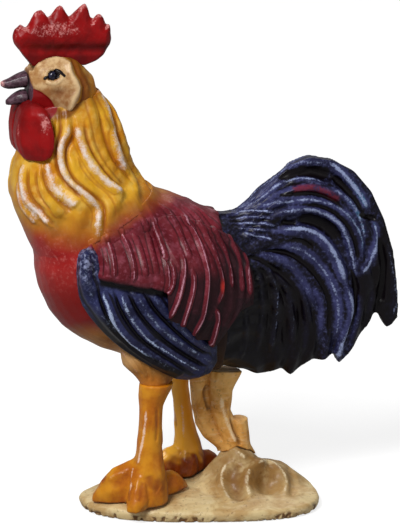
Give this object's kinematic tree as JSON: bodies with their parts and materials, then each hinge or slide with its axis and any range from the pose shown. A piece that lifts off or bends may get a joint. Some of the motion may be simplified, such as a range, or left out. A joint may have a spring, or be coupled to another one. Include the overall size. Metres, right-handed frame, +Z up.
{
  "type": "rooster figurine",
  "caption": "Carved and painted wooden rooster with a fluted sickle tail, standing on a carved ground with a forked support.",
  "frame": {"origin": "on the flat underside of the base, below the middle of the figure", "axes": "+Z up, the bird looks along -X, its tail is at +X and its left side is at -Y"},
  "size_m": [0.1015, 0.0432, 0.1287],
  "materials": {
    "sand_paint": "satin painted wood",
    "bark_paint": "satin painted wood",
    "amber_paint": "satin painted wood",
    "breast_paint": "satin painted wood",
    "gold_paint": "satin painted wood",
    "cream_paint": "satin painted wood",
    "eye_paint": "glossy painted wood",
    "red_paint": "satin painted wood",
    "horn_paint": "satin painted wood",
    "navy_paint": "satin painted wood",
    "maroon_paint": "satin painted wood",
    "night_paint": "satin painted wood",
    "bare_wood": "bare softwood"
  },
  "bodies": {
    "root": {"base": "sand_paint", "stump": "bark_paint", "left_leg": "amber_paint", "right_leg": "amber_paint", "body": "breast_paint", "hackle": "gold_paint", "head": "cream_paint", "left_eye": "eye_paint", "right_eye": "eye_paint", "comb": "red_paint", "upper_beak": "horn_paint", "lower_beak": "horn_paint", "left_wattle": "red_paint", "right_wattle": "red_paint", "left_wing": "navy_paint", "right_wing": "navy_paint", "left_coverts": "maroon_paint", "right_coverts": "maroon_paint", "left_saddle": "maroon_paint", "right_saddle": "maroon_paint", "tail": "night_paint", "head_dowel": "bare_wood", "neck_dowel": "bare_wood", "tail_dowel": "bare_wood", "left_leg_dowel": "bare_wood", "right_leg_dowel": "bare_wood", "stump_dowel": "bare_wood"}
  },
  "joints": []
}
